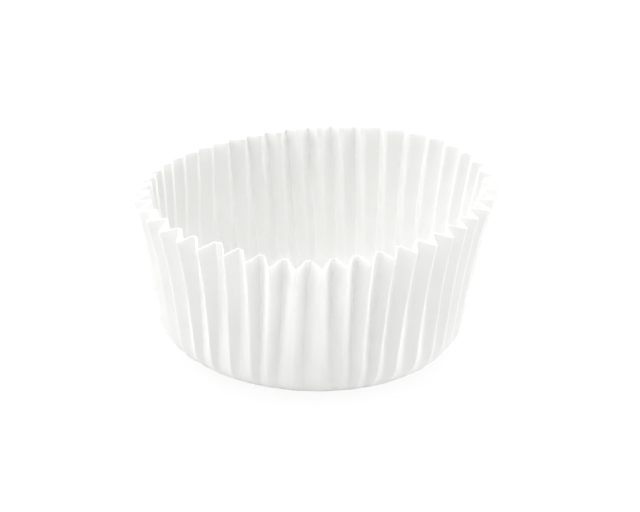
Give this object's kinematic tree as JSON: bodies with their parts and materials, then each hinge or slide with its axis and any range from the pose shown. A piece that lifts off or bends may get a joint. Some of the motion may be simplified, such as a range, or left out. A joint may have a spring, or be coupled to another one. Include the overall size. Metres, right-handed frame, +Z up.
{
  "type": "cupcake liner",
  "caption": "Fluted paper baking cup with a flat round base, a flared pleated wall and an open, slightly oval mouth with a zigzag rim.",
  "frame": {"origin": "middle of the flat base's underside, on the surface that the cup stands on", "axes": "+Z up through the open mouth; -Y is the side towards the camera in the picture, +X to its right"},
  "size_m": [0.0689, 0.069, 0.0317],
  "materials": {
    "paper": "matt white greaseproof baking paper, slightly translucent"
  },
  "bodies": {
    "root": {"fluted_cup": "paper"}
  },
  "joints": []
}
